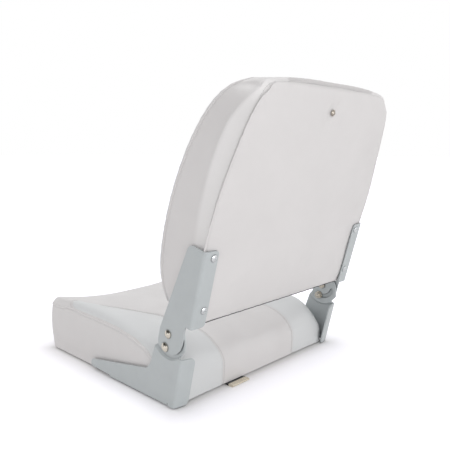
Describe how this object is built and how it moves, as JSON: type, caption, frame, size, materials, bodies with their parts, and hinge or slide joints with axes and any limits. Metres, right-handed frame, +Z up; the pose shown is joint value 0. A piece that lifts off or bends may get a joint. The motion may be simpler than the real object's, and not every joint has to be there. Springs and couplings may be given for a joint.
{
  "type": "folding boat seat",
  "caption": "Padded folding boat seat: vinyl seat and backrest joined by pressed metal hinge brackets, with a threaded mounting pattern underneath and a hold-down strap.",
  "frame": {"origin": "centre of the square of threaded inserts, on the flat underside of the seat pan", "axes": "+Z up, -Y the way the occupant faces, +X the occupant's left; the back folds forward about the pivot bolts, parallel to X"},
  "size_m": [0.452, 0.5511, 0.5172],
  "materials": {
    "marine_vinyl": "fine-grained light grey marine vinyl",
    "foam": "open-cell upholstery foam",
    "moulded_pan": "black moulded plastic",
    "grey_painted_bracket": "semi-gloss blue-grey paint",
    "stainless": "bright stainless steel",
    "white_nylon": "natural nylon",
    "webbing": "ribbed cream webbing, black on top"
  },
  "bodies": {
    "seat": {"seat_pan": "moulded_pan", "seat_foam": "foam", "seat_cover": "marine_vinyl", "hold_down_strap": "webbing", "strap_screw": "stainless", "strap_washer": "stainless", "strap_snap_socket": "stainless", "insert_front_left": "stainless", "insert_front_right": "stainless", "insert_rear_left": "stainless", "insert_rear_right": "stainless", "lower_bracket_left": "grey_painted_bracket", "base_screw_left_rear": "stainless", "base_screw_left_middle": "stainless", "base_screw_left_front": "stainless", "pivot_bolt_left": "stainless", "pivot_nut_left": "stainless", "pivot_washer_left": "white_nylon", "lower_bracket_right": "grey_painted_bracket", "base_screw_right_rear": "stainless", "base_screw_right_middle": "stainless", "base_screw_right_front": "stainless", "pivot_bolt_right": "stainless", "pivot_nut_right": "stainless", "pivot_washer_right": "white_nylon"},
    "backrest": {"back_board": "moulded_pan", "back_pad": "foam", "back_foam": "foam", "back_cover": "marine_vinyl", "snap_stud": "stainless", "upper_bracket_left": "grey_painted_bracket", "back_screw_left_lower": "stainless", "back_screw_left_upper": "stainless", "stop_bolt_left": "stainless", "stop_bush_left": "white_nylon", "stop_washer_left": "stainless", "stop_nut_left": "stainless", "upper_bracket_right": "grey_painted_bracket", "back_screw_right_lower": "stainless", "back_screw_right_upper": "stainless", "stop_bolt_right": "stainless", "stop_bush_right": "white_nylon", "stop_washer_right": "stainless", "stop_nut_right": "stainless"}
  },
  "joints": [
    {"name": "backrest_fold", "type": "hinge", "parent": "seat", "child": "backrest", "pos_m": [0, 0.1827, 0.1193], "axis": [1, 0, 0], "range_deg": [0, 86]}
  ]
}
